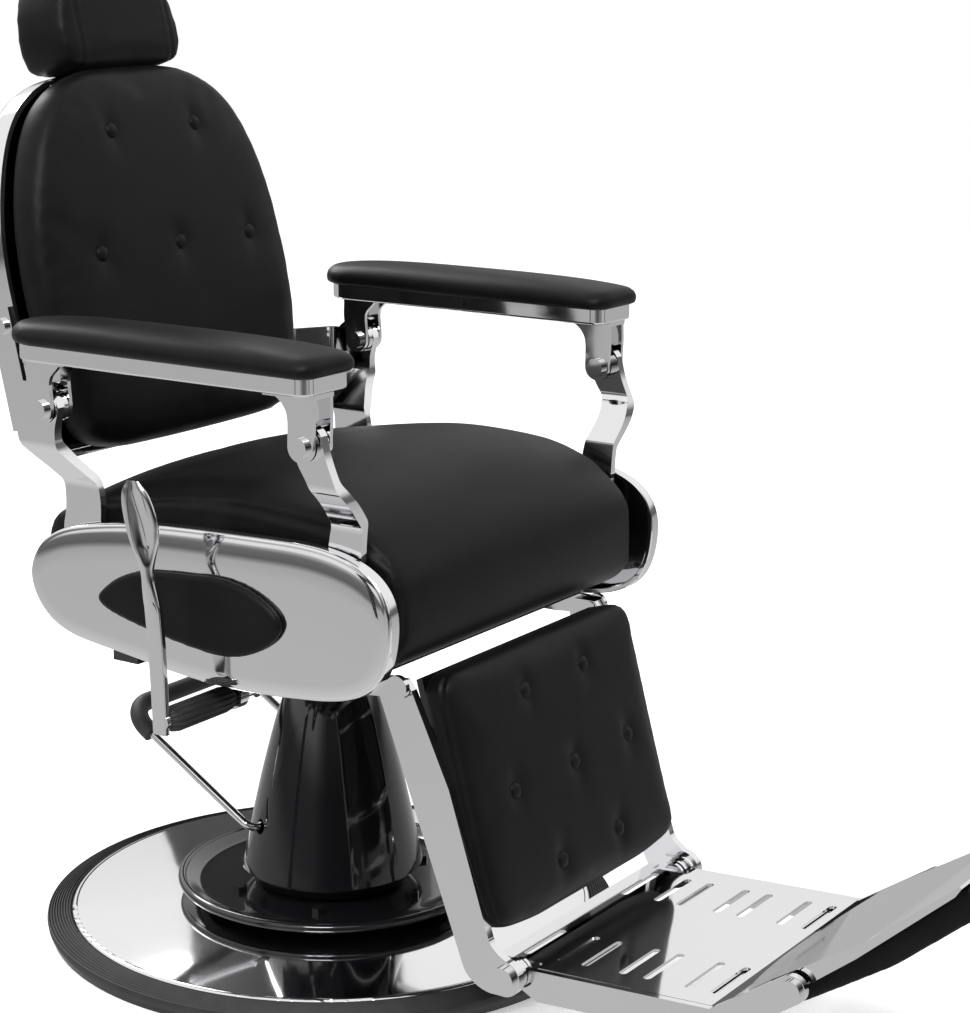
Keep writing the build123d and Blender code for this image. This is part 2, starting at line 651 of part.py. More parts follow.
def foot_bar_outline():
    y, z = FOOT_PIVOT
    front = FOOT_FRONT_Y
    ky, kz = KICK_PIVOT
    dy, dz = 15 * sin(radians(KICK_RISE)), 15 * cos(radians(KICK_RISE))
    top_front, low_front = (front - 2, foot_top(front)), (front - 10, foot_top(front) - 32)
    return make_face([
        Polyline((y - 12, foot_top(y - 12) - 0.5), top_front, (ky + dy, kz + dz)),
        ThreePointArc((ky + dy, kz + dz), (ky - dz, kz + dy), (ky - dy, kz - dz)),
        Polyline((ky - dy, kz - dz), low_front, (y - 28, foot_top(y) - 33), (y - 8, z - 16)),
        ThreePointArc((y - 8, z - 16), (y + 17, z + 4), (y - 12, foot_top(y - 12) - 0.5)),
    ])


def kick_profile():
    """The bent sheet of the kick plate, in (y, z): it lies above the side bars' pivots."""
    lift = 12.0
    normal = (sin(radians(KICK_RISE)) * lift, cos(radians(KICK_RISE)) * lift)
    base = (KICK_PIVOT[0] + normal[0], KICK_PIVOT[1] + normal[1])
    rear = on_line(base, KICK_RISE, -88)
    bend = on_line(base, KICK_RISE, 95)
    tip = on_line(bend, KICK_RISE + 7, KICK_LENGTH - 95)
    return rear, bend, tip


def strip(points, thickness, x0, x1):
    """A bent sheet across the chair: its underside follows the (y, z) points."""
    normals = []
    for a, b in zip(points, points[1:]):
        length = hypot(b[0] - a[0], b[1] - a[1])
        normals.append(((b[1] - a[1]) / length, -(b[0] - a[0]) / length))
    inner = [((m[0] + n[0]) / 2, (m[1] + n[1]) / 2) for m, n in zip(normals, normals[1:])]
    ends = [normals[0], *inner, normals[-1]]
    upper = [(p[0] + n[0] * thickness, p[1] + n[1] * thickness) for p, n in zip(points, ends)]
    return side_plate(make_face(Polyline(*points, *reversed(upper), close=True)), x0, x1)


def make_footrest():
    rear, front = FOOT_REAR_Y, FOOT_FRONT_Y
    thick = 3.5
    plate = make_face(Polyline(
        (rear, foot_top(rear)), (front, foot_top(front)), (front - 3, foot_top(front) - 6),
        (front, foot_top(front) - 7), (front + 3, foot_top(front) - thick), (rear, foot_top(rear) - thick),
        close=True,
    ))
    platform = side_plate(plate, -FOOT_HALF, FOOT_HALF)
    for x in (-102, 102):
        for y in SLOT_ROWS[1:]:
            platform -= Pos(x, y, 90) * extrude(SlotOverall(78, 9), 60, both=True)
    for side in (-1, 1):
        platform -= Pos(side * FOOT_HALF, FOOT_PIVOT[0], 90) * Box(28, 46, 60)
    save("footrest_plate", platform)

    bar = side_plate(foot_bar_outline(), *FOOT_BAR)
    bar -= rod_x(*FOOT_PIVOT, FOOT_PIN_R + RUN_FIT, 150, 220)
    pin = rod_x(*KICK_PIVOT, KICK_PIN_R, KICK_HALF - 12, FOOT_BAR[1] + 5)
    pin += rod_x(*KICK_PIVOT, 11, FOOT_BAR[1] + 0.02, FOOT_BAR[1] + 5)
    bar -= pin
    frame = bar + mirror(bar, Plane.YZ)
    for y in (-425, -590):
        height = foot_top(y) - thick
        frame += box((-FOOT_BAR[0] - 1, FOOT_BAR[0] + 1), (y - 10, y + 10), (height - 15, height - 1.2))
    save("footrest_frame", frame)
    save("kick_pivot_bolts", both_sides(pin))

    back, bend, tip = kick_profile()
    tread = strip([back, bend, tip], 3, -KICK_HALF, KICK_HALF)
    shoulder = back[0] - 27
    plan = make_face([
        Polyline((KICK_HALF, shoulder), (KICK_HALF, -1000), (-KICK_HALF, -1000), (-KICK_HALF, shoulder)),
        ThreePointArc((-KICK_HALF, shoulder), (0, back[0]), (KICK_HALF, shoulder)),
    ])
    tread = tread & extrude(plan, 400)
    slope = radians(KICK_RISE)
    ear = make_face(Polyline(
        on_line(back, KICK_RISE, 48), bend, tip,
        (tip[0] + 11 * sin(slope), tip[1] - 11 * cos(slope)),
        (bend[0] + 22 * sin(slope), bend[1] - 22 * cos(slope)),
        (KICK_PIVOT[0] + 12 * sin(slope), KICK_PIVOT[1] - 12 * cos(slope)), close=True,
    ))
    cheek = side_plate(ear, KICK_HALF - 4, KICK_HALF)
    cheek -= rod_x(*KICK_PIVOT, KICK_PIN_R + RUN_FIT, 100, 200)
    save("kick_plate", tread + cheek + mirror(cheek, Plane.YZ))
    pad_line = [on_line(back, KICK_RISE, 66), bend, tip]
    pad_half = KICK_HALF - 14
    board = strip([(p[0] + 0.05, p[1] - 0.05) for p in pad_line], -34, -pad_half, pad_half)
    save("kick_pad", fillet(board.faces().sort_by(Axis.Z)[0].edges(), 6))


# ---------------------------------------------------------------- build
os.makedirs("parts", exist_ok=True)
volumes = {}
for make in (
    make_base, make_ram, make_pedal, make_seat, make_lever, make_armrests, make_backrest, make_legrest,
    make_footrest,
):
    make()
for name, volume in volumes.items():
    print(name, round(volume / 1000, 1), "cm3")
print(len(volumes), "nodes")
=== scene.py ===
"""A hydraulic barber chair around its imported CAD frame, in metres: +Z up, the sitter faces -Y."""

import json
import math

import bmesh
import bpy
import numpy as np
from mathutils import Matrix, Vector
from mathutils.geometry import convex_hull_2d


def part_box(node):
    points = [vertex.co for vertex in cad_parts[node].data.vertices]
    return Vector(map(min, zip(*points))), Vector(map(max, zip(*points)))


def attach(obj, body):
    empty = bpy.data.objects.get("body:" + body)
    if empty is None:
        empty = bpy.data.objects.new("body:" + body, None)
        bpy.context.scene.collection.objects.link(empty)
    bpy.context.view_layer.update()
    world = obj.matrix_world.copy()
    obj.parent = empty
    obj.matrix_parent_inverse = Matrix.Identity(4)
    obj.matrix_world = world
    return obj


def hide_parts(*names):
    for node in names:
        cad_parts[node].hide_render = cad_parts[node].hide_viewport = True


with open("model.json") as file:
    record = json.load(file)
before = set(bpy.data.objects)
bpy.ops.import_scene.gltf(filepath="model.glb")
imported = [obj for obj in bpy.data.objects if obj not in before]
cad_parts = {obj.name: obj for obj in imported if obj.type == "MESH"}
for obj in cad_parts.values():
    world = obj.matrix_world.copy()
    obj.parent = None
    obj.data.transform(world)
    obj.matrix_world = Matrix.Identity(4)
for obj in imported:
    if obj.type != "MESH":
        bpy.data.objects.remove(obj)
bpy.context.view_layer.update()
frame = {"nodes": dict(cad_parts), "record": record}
MM = 0.001

# Where the buttons lie on the backrest and calf boards, as (across, up the slope) in millimetres.
BACK_BUTTONS = [(-74, 139), (74, 139), (-133, 0), (0, 0), (133, 0), (-74, -139), (74, -139)]
CALF_BUTTONS = [(-60, 96.5), (60, 96.5), (-118, 0), (0, 0), (118, 0), (-60, -94.5), (60, -94.5)]

# Dimples of the tufted pads, in metres.
TUFT_DEPTH, TUFT_REACH = 0.0048, 0.0120
FOLD_HEIGHT, FOLD_RADIUS, FOLD_WIDTH = 0.00012, 0.017, 0.010

CLOTH_FRAMES = 16
SMOOTH_FACTOR = 0.5


# ---------------------------------------------------------------- node materials
class Nodes:
    """A short way to write a node material."""

    def __init__(self, name):
        self.material = bpy.data.materials.new(name)
        self.material.use_nodes = True
        self.tree = self.material.node_tree
        self.shader = next(n for n in self.tree.nodes if n.type == "BSDF_PRINCIPLED")

    def add(self, kind, **values):
        node = self.tree.nodes.new("ShaderNode" + kind)
        for key, value in values.items():
            if hasattr(node, key):
                setattr(node, key, value)
            else:
                node.inputs[key.replace("_", " ").title()].default_value = value
        return node

    def link(self, source, target, socket):
        self.tree.links.new(source, target.inputs[socket])

    def set(self, **values):
        for key, value in values.items():
            self.shader.inputs[key.replace("_", " ").title()].default_value = value

    def place(self):
        """Object coordinates, which are metres in the row frame."""
        return self.add("TexCoord").outputs["Object"]

    def noise(self, scale, detail=4.0, roughness=0.55):
        node = self.add("TexNoise", Scale=scale, Detail=detail, Roughness=roughness)
        self.link(self.place(), node, "Vector")
        return node.outputs["Fac"]

    def ramp(self, value, stops):
        node = self.add("ValToRGB")
        elements = node.color_ramp.elements
        while len(elements) < len(stops):
            elements.new(0.5)
        for element, (place, colour) in zip(elements, stops):
            element.position = place
            element.color = (*colour, 1)
        self.link(value, node, "Fac")
        return node.outputs["Color"]

    def spread(self, value, low, high):
        node = self.add("MapRange")
        node.inputs["To Min"].default_value = low
        node.inputs["To Max"].default_value = high
        self.link(value, node, "Value")
        return node.outputs["Result"]

    def bump(self, height, distance, strength=1.0, below=None):
        node = self.add("Bump", Distance=distance, Strength=strength)
        self.link(height, node, "Height")
        if below is not None:
            self.link(below, node, "Normal")
        return node.outputs["Normal"]


def chrome_material(name, tint, rough_low, rough_high):
    m = Nodes(name)
    smudge = m.noise(9.0, 6.0)
    m.link(m.spread(smudge, rough_low, rough_high), m.shader, "Roughness")
    duller = tuple(c * 0.97 for c in tint)
    m.link(m.ramp(m.noise(3.0, 2.0), [(0.3, duller), (0.7, tint)]), m.shader, "Base Color")
    m.set(Metallic=1.0)
    ripple = m.bump(m.noise(14.0, 1.0), 0.0004, 0.25)
    m.link(ripple, m.shader, "Normal")
    return m.material


def leather_material(name, colour, rough):
    m = Nodes(name)
    pores = m.add("TexVoronoi", feature="DISTANCE_TO_EDGE", Scale=620.0)
    m.link(m.place(), pores, "Vector")
    grain = m.spread(pores.outputs["Distance"], 0.0, 1.0)
    fine = m.noise(1500.0, 3.0)
    first = m.bump(fine, 0.00015, 0.35)
    m.link(m.bump(grain, 0.00025, 0.5, first), m.shader, "Normal")
    patch = m.noise(22.0, 5.0)
    lighter = tuple(c * 1.5 + 0.0005 for c in colour)
    m.link(m.ramp(patch, [(0.35, colour), (0.7, lighter)]), m.shader, "Base Color")
    m.link(m.spread(patch, rough - 0.05, rough + 0.06), m.shader, "Roughness")
    m.shader.inputs["Specular IOR Level"].default_value = 0.17
    m.shader.inputs["Sheen Weight"].default_value = 0.02
    m.shader.inputs["Sheen Roughness"].default_value = 0.4
    return m.material


def gloss_material(name, colour, rough):
    m = Nodes(name)
    lighter = tuple(c * 1.4 for c in colour)
    m.link(m.ramp(m.noise(6.0), [(0.3, colour), (0.8, lighter)]), m.shader, "Base Color")
    m.link(m.spread(m.noise(18.0, 6.0), rough, rough + 0.05), m.shader, "Roughness")
    m.link(m.bump(m.noise(60.0, 2.0), 0.0002, 0.12), m.shader, "Normal")
    m.shader.inputs["Coat Weight"].default_value = 0.6
    m.shader.inputs["Coat Roughness"].default_value = 0.04
    return m.material


def rubber_material(name, colour):
    m = Nodes(name)
    dust = m.noise(40.0, 8.0)
    dusty = tuple(c * 1.8 + 0.004 for c in colour)
    m.link(m.ramp(dust, [(0.3, colour), (0.75, dusty)]), m.shader, "Base Color")
    m.link(m.spread(dust, 0.48, 0.66), m.shader, "Roughness")
    m.link(m.bump(m.noise(900.0, 3.0), 0.0002, 0.5), m.shader, "Normal")
    return m.material


MATERIALS = {
    "chrome": chrome_material("mirror_chrome", (0.86, 0.86, 0.87), 0.03, 0.09),
    "upholstery": leather_material("black_vinyl", (0.0026, 0.0026, 0.0028), 0.44),
    "black_rubber": rubber_material("black_rubber", (0.014, 0.014, 0.014)),
    "gloss_black_shell": gloss_material("gloss_black_shell", (0.006, 0.006, 0.007), 0.05),
    "black_enamel": gloss_material("black_enamel", (0.007, 0.007, 0.008), 0.10),
}


def paint(obj, slot):
    obj.data.materials.clear()
    obj.data.materials.append(MATERIALS[slot])


def smooth_shade(obj):
    for polygon in obj.data.polygons:
        polygon.use_smooth = True
    return obj


def split_edges(obj, angle):
    """Keeps edges sharper than the angle, in degrees, crisp."""
    split = obj.modifiers.new("flat_faces", "EDGE_SPLIT")
    split.split_angle = math.radians(angle)


def dress_frame():
    """Gives every CAD node its material, and a fine bevel to the metal ones."""
    slots = {row["node"]: row["material_slot"] for row in frame["record"]["subparts"]}
    bevels = {"chrome": 0.0008, "black_enamel": 0.001}
    for name, node in frame["nodes"].items():
        slot = slots[name]
        paint(node, slot)
        smooth_shade(node)
        if slot in bevels:
            bevel = node.modifiers.new("edge", "BEVEL")
            bevel.width = bevels[slot]
            bevel.segments = 2
            bevel.limit_method = "ANGLE"
            bevel.angle_limit = math.radians(35)
            bevel.harden_normals = True
        split_edges(node, 32)


# ---------------------------------------------------------------- camera, light and floor
LIGHT_TARGET = Vector((0, 0, 0.5))
CAMERA_SIDE = (-0.66, -0.72, 0.2)
SKY_STOPS = [(0.0, 0.75), (0.36, 0.5), (0.47, 0.42), (0.505, 0.12), (0.555, 0.16), (0.60, 0.8), (0.70, 0.95)]
MIX_A, MIX_B, MIX_RESULT = 6, 7, 2


def set_camera():
    azimuth, pitch = math.radians(-55.02), math.radians(12.39)
    level = math.cos(pitch)
    back = Vector((math.sin(azimuth) * level, -math.cos(azimuth) * level, math.sin(pitch)))
    camera = bpy.data.objects.new("camera", bpy.data.cameras.new("camera"))
    bpy.context.scene.collection.objects.link(camera)
    camera.location = (-2.2386, -1.7035, 1.1602)
    camera.rotation_euler = (-back).to_track_quat("-Z", "Y").to_euler()
    camera.data.lens = 88.02
    camera.data.sensor_width = 36.0
    camera.data.shift_x = 0.0591
    camera.data.shift_y = -0.0315
    camera.data.clip_end = 50.0
    bpy.context.scene.camera = camera


def plane(name, centre, facing, width, height):
    mesh = bpy.data.meshes.new(name)
    w, h = width / 2, height / 2
    mesh.from_pydata([(-w, -h, 0), (w, -h, 0), (w, h, 0), (-w, h, 0)], [], [(0, 1, 2, 3)])
    obj = bpy.data.objects.new(name, mesh)
    bpy.context.scene.collection.objects.link(obj)
    obj.location = centre
    obj.rotation_euler = Vector(facing).to_track_quat("Z", "Y").to_euler()
    return obj


def card(name, centre, width, height, grey):
    """A dark studio card that faces the chair and that only reflections see."""
    obj = plane(name, centre, LIGHT_TARGET - Vector(centre), width, height)
    m = Nodes(name)
    m.set(Roughness=1.0)
    m.shader.inputs["Base Color"].default_value = (grey, grey, grey, 1)
    obj.data.materials.append(m.material)
    obj.visible_camera = False
    obj.visible_diffuse = False
    obj.visible_shadow = False


def area_light(name, place, size, power, mirrored):
    """A lamp that faces the chair; only a mirrored one shows in reflections."""
    data = bpy.data.lights.new(name, "AREA")
    data.shape = "RECTANGLE"
    data.size, data.size_y = size
    data.energy = power
    lamp = bpy.data.objects.new(name, data)
    bpy.context.scene.collection.objects.link(lamp)
    lamp.location = place
    lamp.rotation_euler = (LIGHT_TARGET - Vector(place)).to_track_quat("-Z", "Y").to_euler()
    lamp.visible_glossy = mirrored


def sky():
    """White for the camera; in reflections bright above, with a dark horizon, and dark behind the camera."""
    world = bpy.data.worlds.new("studio")
    world.use_nodes = True
    tree = world.node_tree
    background = tree.nodes["Background"]
    place = tree.nodes.new("ShaderNodeTexCoord")
    split = tree.nodes.new("ShaderNodeSeparateXYZ")
    tree.links.new(place.outputs["Generated"], split.inputs["Vector"])
    height = tree.nodes.new("ShaderNodeValToRGB")
    lift = tree.nodes.new("ShaderNodeMapRange")
    lift.inputs["From Min"].default_value = -1.0
    tree.links.new(split.outputs["Z"], lift.inputs["Value"])
    tree.links.new(lift.outputs["Result"], height.inputs["Fac"])
    elements = height.color_ramp.elements
    while len(elements) < len(SKY_STOPS):
        elements.new(0.5)
    for element, (where, grey) in zip(elements, SKY_STOPS):
        element.position = where
        element.color = (grey, grey, grey, 1)
    ahead = tree.nodes.new("ShaderNodeVectorMath")
    ahead.operation = "DOT_PRODUCT"
    ahead.inputs[1].default_value = CAMERA_SIDE
    tree.links.new(place.outputs["Generated"], ahead.inputs[0])
    behind = tree.nodes.new("ShaderNodeMapRange")
    behind.inputs["From Min"].default_value = 0.78
    behind.inputs["From Max"].default_value = 0.95
    behind.inputs["To Min"].default_value = 1.0
    behind.inputs["To Max"].default_value = 0.12
    tree.links.new(ahead.outputs["Value"], behind.inputs["Value"])
    shade = tree.nodes.new("ShaderNodeMix")
    shade.data_type = "RGBA"
    shade.blend_type = "MULTIPLY"
    shade.inputs["Factor"].default_value = 1.0
    tree.links.new(height.outputs["Color"], shade.inputs[MIX_A])
    tree.links.new(behind.outputs["Result"], shade.inputs[MIX_B])
    seen = tree.nodes.new("ShaderNodeLightPath")
    choose = tree.nodes.new("ShaderNodeMix")
    choose.data_type = "RGBA"
    choose.inputs[MIX_B].default_value = (1, 1, 1, 1)
    tree.links.new(seen.outputs["Is Camera Ray"], choose.inputs["Factor"])
    tree.links.new(shade.outputs[MIX_RESULT], choose.inputs[MIX_A])
    tree.links.new(choose.outputs[MIX_RESULT], background.inputs["Color"])
    return world


def set_studio():
    scene = bpy.context.scene
    scene.view_settings.view_transform = "Standard"
    scene.world = sky()
    floor = plane("floor", (0, 0, -0.0005), (0, 0, 1), 14, 14)
    m = Nodes("floor")
    shades = [(0.2, (0.90, 0.90, 0.90)), (0.8, (0.93, 0.93, 0.93))]
    m.link(m.ramp(m.noise(1.5), shades), m.shader, "Base Color")
    m.set(Roughness=0.9)
    m.shader.inputs["Emission Color"].default_value = (1, 1, 1, 1)
    m.shader.inputs["Emission Strength"].default_value = 0.35
    floor.data.materials.append(m.material)
    floor.visible_glossy = False
    area_light("key", (-2.6, -1.2, 3.4), (1.2, 1.2), 72, True)
    area_light("fill", (1.8, -3.2, 2.0), (0.9, 2.2), 30, False)
    area_light("side", (-3.2, 1.6, 1.6), (0.7, 2.4), 45, False)
    area_light("rim", (1.4, 2.8, 2.6), (2.0, 1.0), 60, True)
    card("dark_left", (-3.4, 0.9, 1.3), 0.35, 3.0, 0.02)
    card("dark_right", (1.7, -3.3, 1.0), 0.35, 2.6, 0.02)
    card("dark_front", (-0.6, -4.2, 0.8), 0.4, 2.4, 0.03)
    card("dark_rear", (2.4, 2.0, 1.6), 0.8, 2.8, 0.05)


# ---------------------------------------------------------------- mesh tools
def evaluated(obj):
    """The object's mesh with its modifiers applied, as a new mesh."""
    bpy.context.view_layer.update()
    graph = bpy.context.evaluated_depsgraph_get()
    return bpy.data.meshes.new_from_object(obj.evaluated_get(graph))


def bake(obj):
    """Applies every modifier of the object."""
    mesh = evaluated(obj)
    obj.modifiers.clear()
    obj.data = mesh


def add_object(name, mesh):
    obj = bpy.data.objects.new(name, mesh)
    bpy.context.scene.collection.objects.link(obj)
    return obj


def coords(obj):
    flat = np.empty(len(obj.data.vertices) * 3)
    obj.data.vertices.foreach_get("co", flat)
    return flat.reshape(-1, 3)


def set_coords(obj, points):
    obj.data.vertices.foreach_set("co", np.asarray(points, float).ravel())
    obj.data.update()


def soft_copy(node, voxel, rounding):
    """A new piece from a CAD soft solid: even squares, with its edges rounded by smoothing."""
    mesh = frame["nodes"][node].data.copy()
    work = bmesh.new()
    work.from_mesh(mesh)
    bmesh.ops.remove_doubles(work, verts=work.verts, dist=0.00002)
    work.to_mesh(mesh)
    work.free()
    obj = add_object(node + "_cover", mesh)
    remesh = obj.modifiers.new("squares", "REMESH")
    remesh.mode = "VOXEL"
    remesh.voxel_size = voxel
    rounder = obj.modifiers.new("round", "SMOOTH")
    rounder.factor, rounder.iterations = SMOOTH_FACTOR, rounding
    bake(obj)
    return smooth_shade(obj)


def normals(obj):
    flat = np.empty(len(obj.data.vertices) * 3)
    obj.data.vertices.foreach_get("normal", flat)
    return flat.reshape(-1, 3)


def inflate(obj, pinned, pressure, cap):
    """Puffs a cover out over its foam: pinned points stay, and no point moves further than the cap."""
    before = coords(obj)
    group = obj.vertex_groups.new(name="pin")
    group.add([int(i) for i in np.nonzero(pinned)[0]], 1.0, "REPLACE")
    cloth = obj.modifiers.new("cloth", "CLOTH")
    settings = cloth.settings
    settings.quality = 6
    settings.mass = 0.3
    settings.use_pressure = True
    settings.uniform_pressure_force = pressure
    settings.tension_stiffness = 30
    settings.compression_stiffness = 30
    settings.bending_stiffness = 4
    settings.vertex_group_mass = "pin"
    settings.effector_weights.gravity = 0
    cloth.point_cache.frame_start, cloth.point_cache.frame_end = 1, CLOTH_FRAMES
    for number in range(1, CLOTH_FRAMES + 1):
        bpy.context.scene.frame_set(number)
    mesh = evaluated(obj)
    obj.modifiers.clear()
    bpy.context.scene.frame_set(1)
    obj.data = mesh
    move = coords(obj) - before
    length = np.linalg.norm(move, axis=1, keepdims=True)
    limit = cap * np.tanh(length / cap) / np.maximum(length, 1e-9)
    set_coords(obj, before + move * limit)
    smooth_shade(obj)


def subdivide(obj):
    modifier = obj.modifiers.new("fine", "SUBSURF")
    modifier.levels = modifier.render_levels = 1
    bake(obj)
    smooth_shade(obj)


def soften(obj, times):
    modifier = obj.modifiers.new("soften", "SMOOTH")
    modifier.factor, modifier.iterations = SMOOTH_FACTOR, times
    bake(obj)
    smooth_shade(obj)


def step(value, low, high):
    """0 up to low, 1 from high on, and a smooth rise between them."""
    t = np.clip((value - low) / (high - low), 0, 1)
    return t * t * (3 - 2 * t)


class Board:
    """A leaning board's own axes: across, up its slope and out of its front."""

    def __init__(self, lean, point):
        sine, cosine = math.sin(math.radians(lean)), math.cos(math.radians(lean))
        self.axes = np.array([(1, 0, 0), (0, sine, cosine), (0, -cosine, sine)])
        self.point = np.array(point)

    def local(self, obj):
        """The object's vertices in the board's axes."""
        return (coords(obj) - self.point) @ self.axes.T

    def set_local(self, obj, local):
        set_coords(obj, local @ self.axes + self.point)

    def facing(self, obj):
        """The object's vertex normals in the board's axes."""
        return normals(obj) @ self.axes.T

    def matrix(self, place):
        """The transform that puts something at a place on the board."""
        turn = Matrix(self.axes.tolist()).transposed().to_4x4()
        return Matrix.Translation(self.point) @ turn @ Matrix.Translation(place)


# The boards as in the CAD model: lean in degrees, and a point of the board in metres.
BACK = Board(13.7, (0, 0.236, 0.795))
CALF = Board(15.5, (0, -0.331, 0.258))


def fit(obj, node, body, slot):
    """Puts a finished piece in the place of a CAD node."""
    paint(obj, slot)
    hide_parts(node)
    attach(obj, body)


def fit_soft(obj, node, body):
    fit(obj, node, body, "upholstery")


def tuft(local, buttons):
    """How far the cover is pulled in at its buttons: tall shallow ovals with a faint fold or two."""
    u, t = local[:, 0], local[:, 1]
    pull = np.zeros(len(local))
    for index, (bu, bt) in enumerate(buttons):
        du, dt = u - bu * MM, t - bt * MM
        r = np.hypot(du, dt * 0.62)
        angle = np.arctan2(dt, du)
        pull += TUFT_DEPTH * np.exp(-((r / TUFT_REACH) ** 1.7))
        folds = np.cos(3 * angle + index * 1.7) + 0.7 * np.cos(5 * angle + index * 2.3)
        pull += FOLD_HEIGHT * folds * np.exp(-(((r - FOLD_RADIUS) / FOLD_WIDTH) ** 2))
    return pull


def lathe(name, profile, steps, wobble=None):
    """A closed ring of (radius, height) points turned about Z."""
    points, faces = [], []
    count = len(profile)
    for i in range(steps):
        a = 2 * math.pi * i / steps
        for r, z in profile:
            grow = wobble(a) if wobble else 0.0
            points.append(((r + grow) * math.cos(a), (r + grow) * math.sin(a), z))
    for i in range(steps):
        for j in range(count):
            a, b = i * count + j, i * count + (j + 1) % count
            c, d = ((i + 1) % steps) * count + (j + 1) % count, ((i + 1) % steps) * count + j
            faces.append((a, d, c, b))
    mesh = bpy.data.meshes.new(name)
    mesh.from_pydata(points, [], faces)
    mesh.update()
    return smooth_shade(add_object(name, mesh))


def skin(name, points, around):
    """A closed skin over rings of points, each ring with as many points, and a cap on both ends."""
    faces = []
    last = len(points) - around
    for start in range(0, last, around):
        for i in range(around):
            j = (i + 1) % around
            faces.append((start + i, start + j, start + around + j, start + around + i))
    faces += [tuple(range(around)), tuple(range(last, last + around))]
    mesh = bpy.data.meshes.new(name)
    mesh.from_pydata(points, [], faces)
    work = bmesh.new()
    work.from_mesh(mesh)
    bmesh.ops.recalc_face_normals(work, faces=work.faces)
    work.to_mesh(mesh)
    work.free()
    return smooth_shade(add_object(name, mesh))


# ---------------------------------------------------------------- upholstery
def make_board_pad(node, board, buttons, voxel, rounding, crown, half, widen, stretch, droop):
    """A tufted pad on a leaning board: crowned by so much over half its width and height, then widened,
    stretched up the slope, drawn up at its lower corners and pulled in at its buttons."""
    obj = soft_copy(node, voxel, rounding)
    local = board.local(obj)
    front = local[:, 2].max()
    depth = front - local[:, 2].min()
    middle = (local[:, 1].max() + local[:, 1].min()) / 2
    # Fill the pockets of the CAD buttons, then crown the face.
    for bu, bt in buttons:
        near = np.hypot(local[:, 0] - bu * MM, local[:, 1] - bt * MM) < 0.024
        face = near & (local[:, 2] > front - 0.030)
        local[face, 2] = front
    in_pad = step(local[:, 2], front - depth * 0.75, front - depth * 0.15)
    across = np.clip(np.abs(local[:, 0]) / half[0], 0, 1)
    along = np.clip(np.abs(local[:, 1] - middle) / half[1], 0, 1)
    local[:, 2] += in_pad * crown * ((1 - across ** 2.4) * (1 - along ** 2.4) - 0.45)
    local[:, 0] *= widen
    local[:, 1] *= stretch
    outward = step(np.abs(local[:, 0]), half[0] * 0.55, half[0])
    downward = step(middle - local[:, 1], half[1] * 0.5, half[1])
    local[:, 1] += droop * outward * downward
    board.set_local(obj, local)
    soften(obj, 5)
    inflate(obj, board.local(obj)[:, 2] < front - depth * 0.7, 1.5, 0.003)
    soften(obj, 10)
    subdivide(obj)
    local = board.local(obj)
    in_face = step(local[:, 2], front - depth * 0.55, front - 0.012)
    local[:, 2] -= in_face * tuft(local, buttons)
    board.set_local(obj, local)
    return obj


def make_buttons(node, body, board, buttons, cover):
    """Covered buttons: low domes with a pinched edge, each sitting on the cover it pulls in."""
    profile = [
        (0.0, 0.0042), (0.003, 0.0040), (0.006, 0.0033), (0.0080, 0.0020), (0.0094, 0.0), (0.0096, -0.0016),
        (0.0080, -0.004), (0.0, -0.004),
    ]
    local = board.local(cover)
    domes = []
    for index, (u, t) in enumerate(buttons):
        near = np.hypot(local[:, 0] - u * MM, local[:, 1] - t * MM) < 0.006
        depth = local[near, 2].max() - 0.0002
        dome = lathe("%s_%d" % (node, index), profile, 40)
        dome.data.transform(board.matrix((u * MM, t * MM, depth)))
        domes.append(dome)
    fit(join(domes, node + "_domes"), node, body, "upholstery")


def join(objects, name):
    """One object made of several, whose meshes are merged."""
    work = bmesh.new()
    for obj in objects:
        work.from_mesh(obj.data)
        bpy.data.objects.remove(obj)
    mesh = bpy.data.meshes.new(name)
    bmesh.ops.remove_doubles(work, verts=work.verts, dist=0.00001)
    work.to_mesh(mesh)
    work.free()
    return smooth_shade(add_object(name, mesh))


def make_backrest_pad():
    obj = make_board_pad(
        "backrest_pad", BACK, BACK_BUTTONS, voxel=0.006, rounding=26, crown=0.014, half=(0.222, 0.214),
        widen=0.99, stretch=1.02, droop=0.016,
    )
    fit_soft(obj, "backrest_pad", "backrest")
    make_buttons("backrest_buttons", "backrest", BACK, BACK_BUTTONS, obj)


def make_calf_pad():
    obj = make_board_pad(
        "calf_pad", CALF, CALF_BUTTONS, voxel=0.005, rounding=10, crown=0.005, half=(0.182, 0.146),
        widen=1.03, stretch=0.975, droop=0.006,
    )
    # A seam down each side, a finger's width behind the front.
    sideways = np.abs(CALF.facing(obj)[:, 0]) > 0.5
    out = CALF.local(obj)[:, 2]
    behind = out - (out.max() - 0.021)
    seam(obj, np.where(sideways, behind, 1.0), 0.0022, 0.0017)
    fit_soft(obj, "calf_pad", "legrest")
    make_buttons("calf_buttons", "legrest", CALF, CALF_BUTTONS, obj)


def from_path(points, path):
    """Distance of each 2-D point from a path of straight pieces."""
    nearest = np.full(len(points), 1.0)
    for a, b in zip(path, path[1:]):
        along = b - a
        t = np.clip((points - a) @ along / (along @ along), 0, 1)
        nearest = np.minimum(nearest, np.linalg.norm(points - a - t[:, None] * along, axis=1))
    return nearest


def seam(obj, distance, width, depth):
    """Presses a stitched seam into the cover: distance is each vertex's distance from the seam line."""
    p = coords(obj)
    groove = depth * np.exp(-((distance / width) ** 2))
    welt = 0.45 * depth * np.exp(-(((np.abs(distance) - 2.2 * width) / width) ** 2))
    set_coords(obj, p - normals(obj) * (groove - welt)[:, None])


